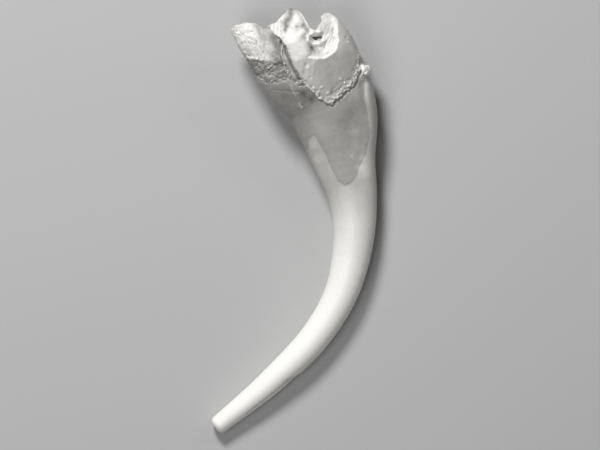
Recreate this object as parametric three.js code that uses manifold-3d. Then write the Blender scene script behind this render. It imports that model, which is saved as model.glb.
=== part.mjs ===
// A viper's fang lying on its side, with the broken socket of jaw bone still grown on to its root.
// Millimetres, +Z up. The tip is towards -Y, the root towards +Y, and the outside of the bend towards +X.
import * as THREE from 'three';
import * as BufferGeometryUtils from 'three/addons/utils/BufferGeometryUtils.js';
import Module from 'manifold-3d';

const { smoothstep, degToRad } = THREE.MathUtils;

// The middle line of the fang seen from above, from the tip to the broken top of the bone.
const middleLine = [
  [-7.42, -19.26], [-2.33, -15.05], [1.83, -10.86], [4.39, -6.54], [5.48, -1.59],
  [5.39, 2.12], [4.64, 5.54], [3.35, 10.94], [1.16, 14.65], [-2.16, 21.27],
];
// Half of the width seen from above, as [distance from the tip along the middle line, half width].
const halfWidths = [
  [0, 0.85], [4, 1.06], [10, 1.36], [16.5, 1.51], [22, 1.85], [26, 2.17], [30, 2.9], [33, 3.85],
  [36, 4.26], [38.5, 4.82], [41, 4.86], [47, 4.86],
];
const tipLength = 0.6; // the worn, rounded end
const tipSquareness = 2.6; // of its profile, where 2 is an ellipse
const shaftEnd = 22; // round up to here, then flatter towards the root
const rootFlatness = 0.72; // thickness over width at the root
const flatFrom = 34;
const rootSquareness = 2.35; // of the root's section, where 2 is an ellipse
const rootLift = 0.25; // the bone's underside stands this far below the root's

// Places on the bone are [across, up]: across the root towards the outside of the bend, and up its axis.
const rootPlace = new THREE.Vector2(2.56, 11.23);
const rootLean = degToRad(27);
const acrossWay = new THREE.Vector2(Math.cos(rootLean), Math.sin(rootLean));
const upWay = new THREE.Vector2(-Math.sin(rootLean), Math.cos(rootLean));
const middleAcross = 0.27;
const blockHalfWidth = 4.86;

// The broken top edge of the bone on the near side (seen from above) and on the far side.
const nearRim = [
  [-4.6, 9.4], [-4.4, 9.68], [-4.03, 9.73], [-2.86, 9.41], [-2.42, 9.15], [-1.95, 8.22], [-0.71, 8.31],
  [0.22, 8.61], [0.76, 8.88], [1.13, 8.9], [1.8, 8.35], [1.94, 7.4], [2.0, 6.2], [2.33, 5.94], [2.7, 6.26],
  [3.24, 6.45], [3.36, 6.9], [3.81, 7.06], [4.22, 6.85], [4.59, 6.11], [4.97, 4.76], [5.09, 4.0],
];
const farRim = [
  [-4.6, 9.4], [-4.3, 8.1], [-3.4, 6.1], [-2.3, 5.1], [-1.2, 5.4], [0, 4.8], [1.2, 6.1],
  [1.8, 6.1], [2.4, 5.75], [3.3, 5.2], [4.1, 3.9], [4.6, 3.4], [5.09, 4.0],
];
// The smooth bone plate over the root: its left side as [up, across], and its lower edge as [across, up].
const plateSide = [
  [-1, -0.6], [0.4, -0.45], [1.79, -0.8], [3.36, -0.95], [4.07, -0.9], [5.97, -0.69], [7.1, -0.9], [9, -0.9],
];
const plateEdge = [
  [-0.8, 1.79], [-0.35, 0.38], [0.14, -0.48], [0.63, -0.8], [1.15, -0.64], [2.62, -0.27], [3.46, -0.07],
  [4.11, 0.51], [4.75, 1.6], [5.2, 2.1],
];
const plateHeight = 0.36;
// Flat broken faces that cut the middle peak of the plate back: a place, the height there and the slopes
// across and up. They fade out to the right of the peak and below its foot.
const facets = [
  { place: [0, 4.3], height: 0.37, slopes: [0.03, -0.24] },
  { place: [0.3, 5.9], height: 0, slopes: [-0.06, -0.7] },
  { place: [0.68, 4.8], height: 0.27, slopes: [-0.42, -0.3] },
  { place: [1.2, 7.6], height: -1.1, slopes: [-0.5, -0.7] },
];
const peak = { right: [1.9, 2.5], foot: [3.9, 4.3] };
// Where a flake has come off the plate, with a steep wall round a bed that is hollow at its lower left.
// The wall is wider at the upper right, and a lump is left beside the hollow.
const flake = [
  [4.5, 7.6], [4.64, 6.2], [4.35, 5.6], [3.67, 4.3], [3.2, 3.68], [2.56, 3.38], [1.77, 3.47], [1.19, 3.8],
  [0.62, 4.15], [1.2, 5.5], [1.75, 6.5], [1.9, 7.6],
];
const flakeWall = { height: 0.38, width: 0.28, widening: 0.5, across: [2.8, 3.8], up: [4.6, 6.2] };
const flakeBed = { place: [1.85, 4.8], depth: 0.8, radius: 1.25 };
const flakeLump = { place: [1.72, 5.62], radius: 0.36, height: 0.42 };
// The spongy lump beside the plate: where it starts to rise from the root, and where it has risen.
const lumpFoot = [
  [-4.9, 5.0], [-4.63, 4.69], [-4.13, 3.8], [-3.32, 3.29], [-1.8, 2.94], [-1.38, 2.09], [-0.6, 1.6],
];
const lumpTop = [[-4.9, 6.9], [-4.24, 6.35], [-3.22, 5.6], [-2.51, 4.95], [-0.6, 4.6]];
const lumpHeight = 0.55;
const lumpStep = 0.1;
const lumpLean = 0.34;
const dish = {
  outline: [
    [-1.9, 8.3], [-2.37, 7.46], [-2.9, 6], [-1.5, 5.7], [-0.8, 6.3], [-0.4, 6.95], [-0.7, 7.2], [-1.2, 8.3],
  ],
  step: 0.08,
  depth: 0.42,
  reach: 0.9,
};
// How uneven the bone is: everywhere on the lump, more in its spongy part, and along the plates' edges.
const unevenHeights = { lump: 0.04, spongy: 0.1, plateEdge: 0.08, farEdge: 0.08 };
const ridges = [
  { path: [[-0.84, 6.27], [-1.36, 5.8], [-1.76, 3.87], [-1.93, 2.68]], height: 0.24, width: 0.16 },
  { path: [[-4.5, 6.75], [-4.08, 6.42], [-3.4, 5.8]], height: 0.14, width: 0.2 },
];
const grooves = [
  { path: [[-0.98, 6.5], [-0.88, 5.97], [-0.97, 4.97], [-1.12, 3.3], [-1, 2.6]], depth: 0.36, width: 0.18 },
  { path: [[1.2, 9.1], [0.55, 8], [0.2, 7.45]], depth: 0.42, width: 0.24 },
  { path: [[4.75, 1.7], [4.49, 0.95], [3.7, 0.25]], depth: 0.22, width: 0.14 },
];
const knob = { place: [4.8, 0.58], radius: 0.42, height: 0.5, sideways: 0.34 };

// The bone's plate on the far side: how far up its edge is and how that waves, and its grooves.
const farPlate = {
  height: 0.6,
  wave: { height: 0.7, rate: 0.9, shift: 0.6 },
  ripple: { height: 0.2, rate: 4.1 },
  grooves: [
    { at: -2.1, lean: 0.15, depth: 0.2, width: 0.3 },
    { at: 1.9, lean: -0.1, depth: 0.16, width: 0.25 },
  ],
};

// The cavity in the root, and the slit near the tip where the venom left.
const cavity = {
  apexUp: -5.6, halfWidth: 3.35, halfHeight: 1.85, taper: 6.5, sideRoundness: 1.3, cornerSharpness: 6,
};
const thinnestWall = 0.5;
const rimBevel = 0.2;
const slit = { from: 2.6, fullFrom: 5.1, fullTo: 8.8, to: 9.3, depth: 0.5, halfWidth: 0.2 };

// A three-cornered hole through the floor of the flake, and small pits.
const hole = [[1.81, 5.63], [2.62, 5.28], [2.5, 5.06], [1.95, 5.15]];
const pits = [
  { place: [-4.1, 6.6], radius: 0.18 }, { place: [-3.55, 5.85], radius: 0.16 },
  { place: [4.53, 4.1], radius: 0.14 }, { place: [0.97, 7.01], radius: 0.16 },
  { place: [-2.2, 4.2], radius: 0.18 }, { place: [-3.1, 4.4], radius: 0.18 },
];

const rings = { tip: 4, shaft: 15, root: 38, cavity: 12 };
const columns = { far: 20, near: 54 };

const curve = new THREE.CatmullRomCurve3(middleLine.map(([x, y]) => new THREE.Vector3(x, y, 0)));
const fangLength = curve.getLength();

// A straight line from point to point of a list of [place, value].
function between(list, place) {
  const next = list.findIndex(([from]) => from >= place);
  if (next === 0) return list[0][1];
  if (next < 0) return list[list.length - 1][1];
  const [[from, low], [to, high]] = [list[next - 1], list[next]];
  return low + ((high - low) * (place - from)) / (to - from);
}

// The same, averaged over a short stretch, so that the list's corners are round.
function smoothBetween(list, place, reach) {
  const shifts = [-1, -0.5, 0, 0.5, 1];
  return shifts.reduce((sum, shift) => sum + between(list, place + shift * reach), 0) / shifts.length;
}

function distanceToPath(place, path) {
  let nearest = Infinity;
  for (let i = 1; i < path.length; i++) {
    const start = new THREE.Vector3(...path[i - 1], 0);
    const line = new THREE.Line3(start, new THREE.Vector3(...path[i], 0));
    const spot = line.closestPointToPoint(place, true, new THREE.Vector3());
    nearest = Math.min(nearest, spot.distanceTo(place));
  }
  return nearest;
}

// How far a place is inside an outline, negative outside it.
function depthInside(place, outline) {
  let inside = false;
  outline.forEach(([x, y], i) => {
    const [lastX, lastY] = outline.at(i - 1);
    const crosses = y > place.y !== lastY > place.y;
    if (crosses && place.x < x + ((lastX - x) * (place.y - y)) / (lastY - y)) inside = !inside;
  });
  const edge = distanceToPath(place, [...outline, outline[0]]);
  return inside ? edge : -edge;
}

// The unevenness of broken and spongy bone, between -1 and 1.
function unevenness(across, up) {
  const first = Math.sin(across * 7.3 + 2.1 * Math.sin(up * 5.9));
  const second = Math.sin(up * 8.1 + 1.7 * Math.sin(across * 6.7));
  return first * second;
}

const bump = (distance, width) => Math.exp(-((distance / width) ** 2));

function rootSpot(x, y) {
  const spot = new THREE.Vector2(x, y).sub(rootPlace);
  return new THREE.Vector3(spot.dot(acrossWay), spot.dot(upWay), 0);
}

// The lump's height over the plain root, at a place on the near side.
function lumpRelief(spot) {
  const foot = between(lumpFoot, spot.x);
  const top = between(lumpTop, spot.x);
  const climb = THREE.MathUtils.clamp((spot.y - foot) / (top - foot), 0, 1);
  const spongy = 1 - smoothstep(spot.y - top, -0.1, 0.4);
  const inDish = depthInside(spot, dish.outline);
  let relief = lumpStep + (lumpHeight - lumpStep) * climb - lumpLean * Math.max(0, spot.y - top);
  relief += (unevenHeights.lump + unevenHeights.spongy * spongy) * unevenness(spot.x, spot.y);
  relief -= dish.step * smoothstep(inDish, -0.05, 0.1);
  return relief - dish.depth * smoothstep(inDish, 0, dish.reach);
}

// The plate's height, with its broken faces and the flake's bed.
function plateRelief(spot, aboveEdge) {
  const faces = facets.map(({ place, height, slopes }) => (
    height + slopes[0] * (spot.x - place[0]) + slopes[1] * (spot.y - place[1])));
  const onPeak = (1 - smoothstep(spot.x, ...peak.right)) * smoothstep(spot.y, ...peak.foot);
  let relief = THREE.MathUtils.lerp(plateHeight, Math.min(plateHeight, ...faces), onPeak);
  const nearEdge = 1 - smoothstep(aboveEdge, 0.35, 0.8);
  relief += unevenHeights.plateEdge * nearEdge * unevenness(spot.x, spot.y);
  const inFlake = depthInside(spot, flake);
  const widening = smoothstep(spot.y, ...flakeWall.up) * smoothstep(spot.x, ...flakeWall.across);
  const wallWidth = flakeWall.width + flakeWall.widening * widening;
  relief -= flakeWall.height * smoothstep(inFlake, -0.03, wallWidth);
  const inHollow = bump(spot.distanceTo(new THREE.Vector3(...flakeBed.place, 0)), flakeBed.radius);
  relief -= flakeBed.depth * inHollow * smoothstep(inFlake, 0.5 * wallWidth, 1.5 * wallWidth);
  const fromLump = spot.distanceTo(new THREE.Vector3(...flakeLump.place, 0));
  return relief + flakeLump.height * bump(fromLump, flakeLump.radius);
}

// How far the bone's near side stands out from the plain root at a place, towards +Z.
function nearRelief(across, up) {
  const spot = new THREE.Vector3(across, up, 0);
  const fromSide = across - between(plateSide, up);
  const rightOfSide = smoothstep(fromSide, -0.06, 0.06);
  const aboveEdge = up - between(plateEdge, across);
  const onPlate = rightOfSide * smoothstep(aboveEdge, -0.12, 0.12);
  const onLump = (1 - rightOfSide) * smoothstep(up - between(lumpFoot, across), -0.1, 0.1);
  let relief = 0;
  if (onPlate > 0) relief += onPlate * plateRelief(spot, aboveEdge);
  if (onLump > 0) relief += onLump * lumpRelief(spot);
  for (const { path, height, width } of ridges) relief += height * bump(distanceToPath(spot, path), width);
  for (const { path, depth, width } of grooves) relief -= depth * bump(distanceToPath(spot, path), width);
  return relief + knob.height * bump(spot.distanceTo(new THREE.Vector3(...knob.place, 0)), knob.radius);
}

// The same for the far side, towards -Z: a plate with a wavy lower edge, and two shallow grooves.
function farRelief(across, up) {
  const { height, wave, ripple, grooves: farGrooves } = farPlate;
  const edge = height + wave.height * Math.sin(across * wave.rate + wave.shift)
    + ripple.height * Math.sin(across * ripple.rate);
  const onPlate = smoothstep(up - edge, -0.15, 0.2);
  const nearEdge = onPlate * (1 - smoothstep(up - edge, 0.5, 1.3));
  let relief = rootLift - unevenHeights.farEdge * nearEdge * (1 + unevenness(across, up));
  for (const { at, lean, depth, width } of farGrooves) relief -= depth * bump(across - at - lean * up, width);
  return onPlate * relief;
}

// The fang's section at a distance along the middle line: its middle, sizes and the way across it.
function sectionAt(along) {
  const share = THREE.MathUtils.clamp(along / fangLength, 0, 1);
  const middle = curve.getPointAt(share);
  const way = curve.getTangentAt(share);
  const toEnd = Math.min(1, Math.max(0, along) / tipLength);
  const capShare = (1 - (1 - toEnd) ** tipSquareness) ** (1 / tipSquareness);
  const atRoot = smoothstep(along, shaftEnd, flatFrom);
  const fullWidth = smoothBetween(halfWidths, along, 1.6);
  const flatness = 1 - (1 - rootFlatness) * atRoot;
  const halfWidth = fullWidth * capShare;
  const halfHeight = halfWidth * flatness;
  const height = fullWidth * flatness + rootLift * atRoot;
  const squareness = 2 + (rootSquareness - 2) * atRoot;
  return { middle, outward: new THREE.Vector3(way.y, -way.x, 0), halfWidth, halfHeight, height, squareness };
}

// A point of a section's outline. The angle is 0 on the outside of the bend and 90 degrees at the top.
function sectionPoint(section, angle, halfWidth, halfHeight) {
  const power = 2 / section.squareness;
  const cos = Math.cos(angle);
  const sin = Math.sin(angle);
  const sideways = Math.sign(cos) * Math.abs(cos) ** power * halfWidth;
  const point = section.middle.clone().addScaledVector(section.outward, sideways);
  point.z = section.height + Math.sign(sin) * Math.abs(sin) ** power * halfHeight;
  return point;
}

// The height of the plain root's near side, at a distance across it.
function plainHeight(section, across) {
  const side = Math.min(1, Math.abs(across - middleAcross) / blockHalfWidth);
  const rise = (1 - side ** section.squareness) ** (1 / section.squareness);
  return section.height + section.halfHeight * rise;
}

function outsidePoint(along, angle) {
  const section = sectionAt(along);
  const arc = Math.atan2(Math.sin(angle), Math.cos(angle)) * section.halfWidth;
  const inSlit = smoothstep(along, slit.from, slit.fullFrom) * (1 - smoothstep(along, slit.fullTo, slit.to));
  const cut = slit.depth * inSlit * bump(arc, slit.halfWidth);
  const point = sectionPoint(section, angle, section.halfWidth - cut, section.halfHeight);
  const { x: across, y: up } = rootSpot(point.x, point.y);
  const facing = Math.sin(angle);
  if (along < shaftEnd) return point;
  if (facing > 0) point.z += nearRelief(across, up) * smoothstep(facing, 0, 0.4);
  else point.z -= farRelief(across, up) * smoothstep(-facing, 0, 0.5);
  const knobShare = bump(up - knob.place[1], knob.radius) * Math.max(0, Math.cos(angle)) ** 6;
  return point.addScaledVector(section.outward, knob.sideways * knobShare);
}

// How far along the middle line the broken edge is, at a distance sideways from the middle.
const rootAlong = fangLength - (upWay.dot(new THREE.Vector2(...middleLine.at(-1)).sub(rootPlace)));
function rimAlong(angle, sideways) {
  return rootAlong + between(Math.sin(angle) >= 0 ? nearRim : farRim, middleAcross + sideways);
}

function outerSideways(angle) {
  const cos = Math.cos(angle);
  return Math.sign(cos) * Math.abs(cos) ** (2 / rootSquareness) * blockHalfWidth;
}

// The cavity keeps right under its roof and stays clear of the side walls.
function innerSideways(sideways) {
  const { halfWidth, cornerSharpness } = cavity;
  return sideways / (1 + (Math.abs(sideways) / halfWidth) ** cornerSharpness) ** (1 / cornerSharpness);
}

function cavityTop(angle) {
  const outer = outerSideways(angle);
  const inner = innerSideways(outer);
  const underRoof = smoothstep(Math.abs(Math.sin(angle)), 0.35, 0.8);
  return THREE.MathUtils.lerp(rimAlong(angle, outer), rimAlong(angle, inner), underRoof) - rimBevel;
}

function cavityPoint(along, angle) {
  const inner = innerSideways(outerSideways(angle));
  const sin = Math.sin(angle);
  const apex = rootAlong + cavity.apexUp;
  const section = sectionAt(along);
  const depth = THREE.MathUtils.clamp(1 - (along - apex) / cavity.taper, 0, 1);
  const narrowing = Math.sqrt(Math.max(0, 1 - depth ** 2));
  const inRoof = (1 - Math.abs(inner / cavity.halfWidth) ** rootSquareness) ** (1 / rootSquareness);
  const roundness = Math.min(inRoof, cavity.sideRoundness * Math.abs(sin) ** (2 / rootSquareness));
  const point = section.middle.clone().addScaledVector(section.outward, inner * narrowing);
  point.z = section.height + (sin < 0 ? -roundness : roundness) * cavity.halfHeight * narrowing;
  const { x: across, y: up } = rootSpot(point.x, point.y);
  const roof = plainHeight(section, across) + nearRelief(across, up);
  if (narrowing > 0) point.z = Math.min(point.z, roof - thinnestWall);
  return point;
}

// The surface runs from the tip up the outside, over the broken edge and down into the cavity. The rings
// near the broken edge stand at the same heights all round, and stop where they meet it.
const shaftTop = rootAlong - 5;
const highestTop = rootAlong + 9.9;
const leastGap = 0.06; // between the last ring and the broken edge
const crowding = 1.2; // the cavity's rings stand closer together towards the broken edge
const stations = [];
for (let i = 0; i <= rings.tip; i++) {
  const along = tipLength * (1 - Math.cos((i / rings.tip) * (Math.PI / 2)));
  stations.push((angle) => outsidePoint(along, angle));
}
for (let i = 1; i <= rings.shaft; i++) {
  const along = tipLength + ((shaftTop - tipLength) * i) / rings.shaft;
  stations.push((angle) => outsidePoint(along, angle));
}
for (let i = 1; i <= rings.root; i++) {
  const along = shaftTop + ((highestTop - shaftTop) * i) / rings.root;
  stations.push((angle) => {
    const rim = rimAlong(angle, outerSideways(angle));
    return outsidePoint(along > rim - leastGap ? rim : along, angle);
  });
}
for (let i = 0; i <= rings.cavity; i++) {
  const along = highestTop + (rootAlong + cavity.apexUp - highestTop) * (i / rings.cavity) ** crowding;
  stations.push((angle) => {
    const top = cavityTop(angle);
    return cavityPoint(along > top - leastGap ? top : along, angle);
  });
}

function angleOfColumn(column) {
  if (column <= columns.far) return (-Math.PI * column) / columns.far;
  return Math.PI - (Math.PI * (column - columns.far)) / columns.near;
}

// A turned shape gives the grid of points, closed at both ends, and each point then goes to its place.
const profile = stations.map((_, i) => new THREE.Vector2(i % (stations.length - 1) ? 1 : 0, i));
const surface = new THREE.LatheGeometry(profile, columns.far + columns.near);
for (let i = 0; i < surface.attributes.position.count; i++) {
  const column = Math.floor(i / stations.length) % (columns.far + columns.near);
  const point = stations[i % stations.length](angleOfColumn(column));
  surface.attributes.position.setXYZ(i, point.x, point.y, point.z);
}

const wasm = await Module();
wasm.setup();

function solidOf(geometry) {
  const bare = geometry.clone();
  bare.deleteAttribute('normal');
  bare.deleteAttribute('uv');
  const merged = BufferGeometryUtils.mergeVertices(bare, 1e-4);
  const kept = [];
  const { array } = merged.index;
  for (let i = 0; i < array.length; i += 3) {
    const [a, b, c] = array.slice(i, i + 3);
    if (a !== b && b !== c && c !== a) kept.push(a, b, c);
  }
  return new wasm.Manifold(new wasm.Mesh({
    numProp: 3,
    vertProperties: new Float32Array(merged.attributes.position.array),
    triVerts: new Uint32Array(kept),
  }));
}

function placeOnRoot(across, up) {
  return rootPlace.clone().addScaledVector(acrossWay, across).addScaledVector(upWay, up);
}

function cutHole(solid) {
  const outline = new THREE.Shape(hole.map(([across, up]) => placeOnRoot(across, up)));
  const prism = new THREE.ExtrudeGeometry(outline, { depth: 5, bevelEnabled: false });
  prism.translate(0, 0, sectionAt(rootAlong).height);
  return solid.subtract(solidOf(prism));
}

function cutPit(solid, { place: [across, up], radius }) {
  const spot = placeOnRoot(across, up);
  const surfaceHeight = plainHeight(sectionAt(rootAlong + up), across) + nearRelief(across, up);
  const ball = new THREE.IcosahedronGeometry(radius, 1);
  ball.translate(spot.x, spot.y, surfaceHeight);
  return solid.subtract(solidOf(ball));
}

function geometryOf(solid) {
  const mesh = solid.getMesh();
  const geometry = new THREE.BufferGeometry();
  geometry.setAttribute('position', new THREE.BufferAttribute(mesh.vertProperties, 3));
  geometry.setIndex(new THREE.BufferAttribute(mesh.triVerts, 1));
  return geometry;
}

const cut = pits.reduce(cutPit, cutHole(solidOf(surface)));
const fangGeometry = geometryOf(cut);
fangGeometry.computeVertexNormals();

const ivory = new THREE.MeshStandardMaterial({ color: 0xe9e7e2, roughness: 0.42, metalness: 0 });
const fang = new THREE.Mesh(fangGeometry, ivory);
fang.name = 'fang';

// The origin is under the middle of the fang's box, on the surface it lies on.
const box = new THREE.Box3().setFromBufferAttribute(fangGeometry.attributes.position);
const centre = box.getCenter(new THREE.Vector3());
fang.position.set(-centre.x, -centre.y, -box.min.z);

const model = new THREE.Group();
model.add(fang);

export default model;
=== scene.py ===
import math

import bmesh
import bpy
from mathutils import Matrix, Vector, noise
from mathutils.geometry import intersect_point_line


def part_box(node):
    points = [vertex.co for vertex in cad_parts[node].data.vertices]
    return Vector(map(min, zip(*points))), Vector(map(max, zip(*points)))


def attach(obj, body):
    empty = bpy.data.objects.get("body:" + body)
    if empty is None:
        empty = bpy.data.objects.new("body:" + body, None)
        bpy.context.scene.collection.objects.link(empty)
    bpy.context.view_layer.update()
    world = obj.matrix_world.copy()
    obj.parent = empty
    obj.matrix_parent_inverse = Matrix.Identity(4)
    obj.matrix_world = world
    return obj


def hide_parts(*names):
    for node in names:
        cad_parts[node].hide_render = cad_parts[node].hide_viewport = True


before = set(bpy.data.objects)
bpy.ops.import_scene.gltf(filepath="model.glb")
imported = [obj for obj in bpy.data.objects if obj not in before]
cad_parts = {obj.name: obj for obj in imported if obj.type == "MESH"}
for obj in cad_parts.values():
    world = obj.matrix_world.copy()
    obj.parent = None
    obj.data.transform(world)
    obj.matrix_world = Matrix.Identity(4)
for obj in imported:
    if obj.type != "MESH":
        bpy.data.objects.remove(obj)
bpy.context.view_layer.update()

# A viper's fang on its side, with the broken bone of its socket grown on to its root.
# Shapes are worked out in millimetres and scaled to metres when a piece is finished.

mm = 0.001
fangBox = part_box("fang")
print("frame loaded")


# helpers for shapes

def smooth(value, low, high):
    # 0 up to low, 1 from high on, and a smooth rise between
    share = min(1, max(0, (value - low) / (high - low)))
    return share * share * (3 - 2 * share)


def mix(one, other, share):
    return one + (other - one) * share


def bump(distance, width):
    # 1 in the middle, fading to 0 at three widths from it
    return math.exp(-(distance / width) ** 2) if abs(distance) < 3 * width else 0


def between(points, place):
    # straight from point to point of a list of (place, value)
    for (start, low), (end, high) in zip(points, points[1:]):
        if place <= end:
            return low + (high - low) * max(0, place - start) / (end - start)
    return points[-1][1]


def pathOf(points):
    # a line or an outline of (across, up) places
    return [Vector((across, up, 0)) for across, up in points]


def distanceTo(path, spot, reach):
    # how far a spot is from a line of points, or the reach where it is further away
    nearest = reach
    for start, end in zip(path, path[1:]):
        if min(start.x, end.x) - reach < spot.x < max(start.x, end.x) + reach:
            if min(start.y, end.y) - reach < spot.y < max(start.y, end.y) + reach:
                foot, share = intersect_point_line(spot, start, end)
                foot = start.lerp(end, min(1, max(0, share)))
                nearest = min(nearest, (spot - foot).length)
    return nearest


def depthInside(outline, spot, reach):
    # how far a spot is inside an outline, and negative outside it
    inside = False
    for one, other in zip(outline, outline[1:] + outline[:1]):
        if (one.y > spot.y) != (other.y > spot.y):
            if spot.x < one.x + (other.x - one.x) * (spot.y - one.y) / (other.y - one.y):
                inside = not inside
    edge = distanceTo(outline + outline[:1], spot, reach)
    return edge if inside else -edge


def rough(across, up, size, seed=0):
    # uneven ground between -1 and 1, with lumps of that size
    return noise.noise(Vector((across / size, up / size, seed)))


# the fang's plan: the same middle line and widths as the frame's

plan = {
    # the middle line from the tip to above the root, and half the width at distances from the tip
    "middleLine": [(-7.42, -19.26), (-2.33, -15.05), (1.83, -10.86), (4.39, -6.54), (5.48, -1.59),
                   (5.39, 2.12), (4.64, 5.54), (3.35, 10.94), (1.16, 14.65), (-2.16, 21.27)],
    "halfWidths": [(0, 0.85), (4, 1.06), (10, 1.36), (16.5, 1.51), (22, 1.85), (26, 2.17), (30, 2.9),
                   (33, 3.85), (36, 4.26), (38.5, 4.82), (41, 4.86), (47, 4.86)],
    "rounding": 1.6,       # how far along the corners of the widths are rounded
    "tipLength": 0.6,
    "tipRoundness": 2.6,   # where 2 is an ellipse
    "shaftEnd": 22,        # round up to here, flatter above
    "flatFrom": 34,
    "rootFlatness": 0.72,  # its thickness for its width
    "rootLift": 0.25,      # room for the plate on its far side
    "squareness": 2.35,    # of the root's section, where 2 is an ellipse
    "rootPlace": (2.56, 11.23),        # a point in the root's middle, where (across, up) is (0, 0)
    "rootLean": math.radians(27),      # of up, to the left
    "middleAcross": 0.27,  # the broken block's middle and half width
    "blockHalfWidth": 4.86,
    "linePoints": 600,
    "wayReach": 4,         # points before and after that give the line's way
}

acrossWay = Vector((math.cos(plan["rootLean"]), math.sin(plan["rootLean"]), 0))
upWay = Vector((-math.sin(plan["rootLean"]), math.cos(plan["rootLean"]), 0))
rootPlace = Vector((*plan["rootPlace"], 0))


def splinePoint(points, position):
    # a centripetal Catmull-Rom curve through the points
    piece = min(int(position), len(points) - 2)
    share = position - piece
    second, third = points[piece], points[piece + 1]
    first = points[piece - 1] if piece > 0 else 2 * second - third
    fourth = points[piece + 2] if piece + 2 < len(points) else 2 * third - second
    gaps = [math.sqrt((b - a).length) for a, b in ((first, second), (second, third), (third, fourth))]
    slopeIn = ((second - first) / gaps[0] - (third - first) / (gaps[0] + gaps[1])
               + (third - second) / gaps[1]) * gaps[1]
    slopeOut = ((third - second) / gaps[1] - (fourth - second) / (gaps[1] + gaps[2])
                + (fourth - third) / gaps[2]) * gaps[1]
    squared, cubed = share ** 2, share ** 3
    return (second * (2 * cubed - 3 * squared + 1) + slopeIn * (cubed - 2 * squared + share)
            + third * (3 * squared - 2 * cubed) + slopeOut * (cubed - squared))


def measuredLine(spec):
    # points along the middle line, with the distance of each from the tip
    corners = [Vector((x, y, 0)) for x, y in spec["middleLine"]]
    steps = spec["linePoints"]
    points = [splinePoint(corners, (len(corners) - 1) * i / steps) for i in range(steps + 1)]
    distances = [0]
    for start, end in zip(points, points[1:]):
        distances.append(distances[-1] + (end - start).length)
    return points, distances


linePoints, lineDistances = measuredLine(plan)
fangLength = lineDistances[-1]
rootAlong = fangLength - (linePoints[-1] - rootPlace).dot(upWay)


def lineAt(along):
    # the middle line's place and way at a distance from the tip
    along = min(fangLength, max(0, along))
    low, high = 0, len(lineDistances) - 1
    while high - low > 1:
        half = (low + high) // 2
        low, high = (half, high) if lineDistances[half] <= along else (low, half)
    share = (along - lineDistances[low]) / (lineDistances[high] - lineDistances[low])
    before = linePoints[max(0, low - plan["wayReach"])]
    after = linePoints[min(high + plan["wayReach"], len(linePoints) - 1)]
    return linePoints[low].lerp(linePoints[high], share), (after - before).normalized()


def widthAt(along):
    # the list's corners are rounded by the mean of five places
    shifts = [plan["rounding"] * share for share in (-1, -0.5, 0, 0.5, 1)]
    return sum(between(plan["halfWidths"], along + shift) for shift in shifts) / len(shifts)


def sectionAt(along):
    # the fang's section at a distance from the tip
    middle, way = lineAt(along)
    fromCap = 1 - min(1, max(0, along) / plan["tipLength"])
    cap = (1 - fromCap ** plan["tipRoundness"]) ** (1 / plan["tipRoundness"])
    flat = smooth(along, plan["shaftEnd"], plan["flatFrom"])
    width = widthAt(along)
    thickness = width * (1 - (1 - plan["rootFlatness"]) * flat)
    return {"middle": middle, "outward": Vector((way.y, -way.x, 0)), "halfWidth": width * cap,
            "halfHeight": thickness * cap, "height": thickness + plan["rootLift"] * flat,
            "squareness": mix(2, plan["squareness"], flat)}


def sectionPoint(section, angle, halfWidth, halfHeight):
    # angles start on the outside of the bend and turn over the near side
    power = 2 / section["squareness"]
    cos, sin = math.cos(angle), math.sin(angle)
    point = section["middle"] + section["outward"] * math.copysign(abs(cos) ** power, cos) * halfWidth
    point.z = section["height"] + math.copysign(abs(sin) ** power, sin) * halfHeight
    return point


def plainHeight(section, across):
    # the near side's height without its relief
    side = min(1, abs(across - plan["middleAcross"]) / plan["blockHalfWidth"])
    squareness = section["squareness"]
    return section["height"] + section["halfHeight"] * (1 - side ** squareness) ** (1 / squareness)


# the root and the broken bone on it, with places as (across, up) from the root's place in the plan

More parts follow.
